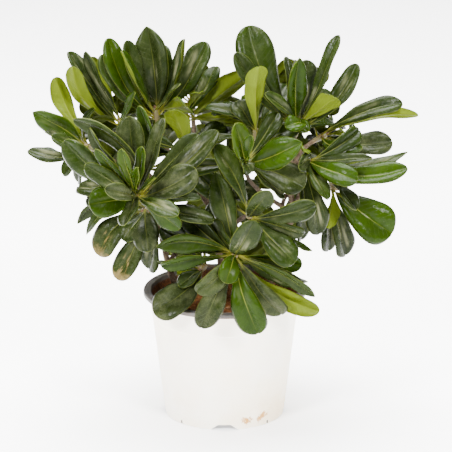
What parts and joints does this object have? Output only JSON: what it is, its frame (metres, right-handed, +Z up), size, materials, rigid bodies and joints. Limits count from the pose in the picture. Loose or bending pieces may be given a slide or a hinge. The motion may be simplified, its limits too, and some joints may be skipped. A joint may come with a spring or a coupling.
{
  "type": "potted japanese pittosporum",
  "caption": "Dwarf Japanese pittosporum: whorls of leathery, spoon-shaped leaves on short woody stems, rooted in a plain round nursery pot with a rolled lip and arched foot.",
  "frame": {"origin": "middle of the pot's foot on the ground, which is also the bottom centre of the whole plant's bounding box", "axes": "+Z up; the side that the picture shows faces -Y, and +X is to the viewer's right"},
  "size_m": [0.3321, 0.2398, 0.3462],
  "materials": {
    "pot_plastic": "satin",
    "potting_mix": "matte",
    "bark": "matte",
    "leaf": "satin"
  },
  "bodies": {
    "root": {"pot": "pot_plastic", "soil": "potting_mix", "stem_left": "bark", "stem_middle": "bark", "stem_right": "bark", "leaves_front_low": "leaf", "leaves_front_middle": "leaf", "leaves_front_low_left": "leaf", "leaves_left_front": "leaf", "leaves_centre": "leaf", "leaves_right_front": "leaf", "leaves_right_low": "leaf", "leaves_top_right": "leaf", "leaves_left_low": "leaf", "leaves_right": "leaf", "leaves_left": "leaf", "leaves_middle_left": "leaf", "leaves_middle_right": "leaf", "leaves_top_middle": "leaf", "leaves_top_left": "leaf", "leaves_left_top": "leaf", "leaves_back_left": "leaf", "leaves_back_middle": "leaf", "leaves_back_right": "leaf", "leaves_back_top_left": "leaf", "leaves_back_top_right": "leaf", "leaves_back_low_left": "leaf", "leaves_back_low_right": "leaf", "leaves_side_left": "leaf", "leaves_side_right": "leaf"}
  },
  "joints": []
}
